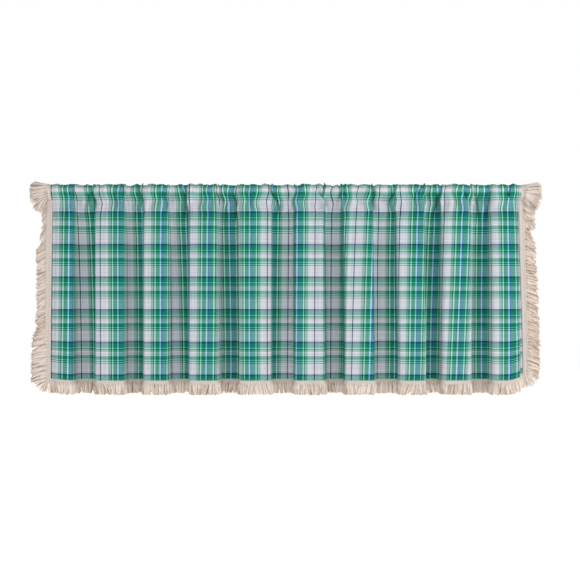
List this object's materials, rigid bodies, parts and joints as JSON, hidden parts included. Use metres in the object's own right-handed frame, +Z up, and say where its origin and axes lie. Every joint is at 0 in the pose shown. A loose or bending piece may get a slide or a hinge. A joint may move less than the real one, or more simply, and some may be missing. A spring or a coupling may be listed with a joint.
{
  "type": "window valance",
  "caption": "Gathered window valance in green, white and navy plaid with a rod pocket, and brush fringe down both sides and along the hem.",
  "frame": {"origin": "middle of the pocket's top edge, on the centre plane of the rod", "axes": "+X along the rod to the viewer's right, +Y to the back of the cloth, towards the window, +Z up"},
  "size_m": [1.1031, 0.0549, 0.4624],
  "materials": {
    "plaid_cloth": "matt plain weave, yarn-dyed plaid",
    "brush_fringe": "matt cream cotton yarn"
  },
  "bodies": {
    "root": {"heading": "plaid_cloth", "panel": "plaid_cloth", "fringe_hem": "brush_fringe", "fringe_left": "brush_fringe", "fringe_right": "brush_fringe", "tuft_left": "brush_fringe", "tuft_right": "brush_fringe"}
  },
  "joints": []
}
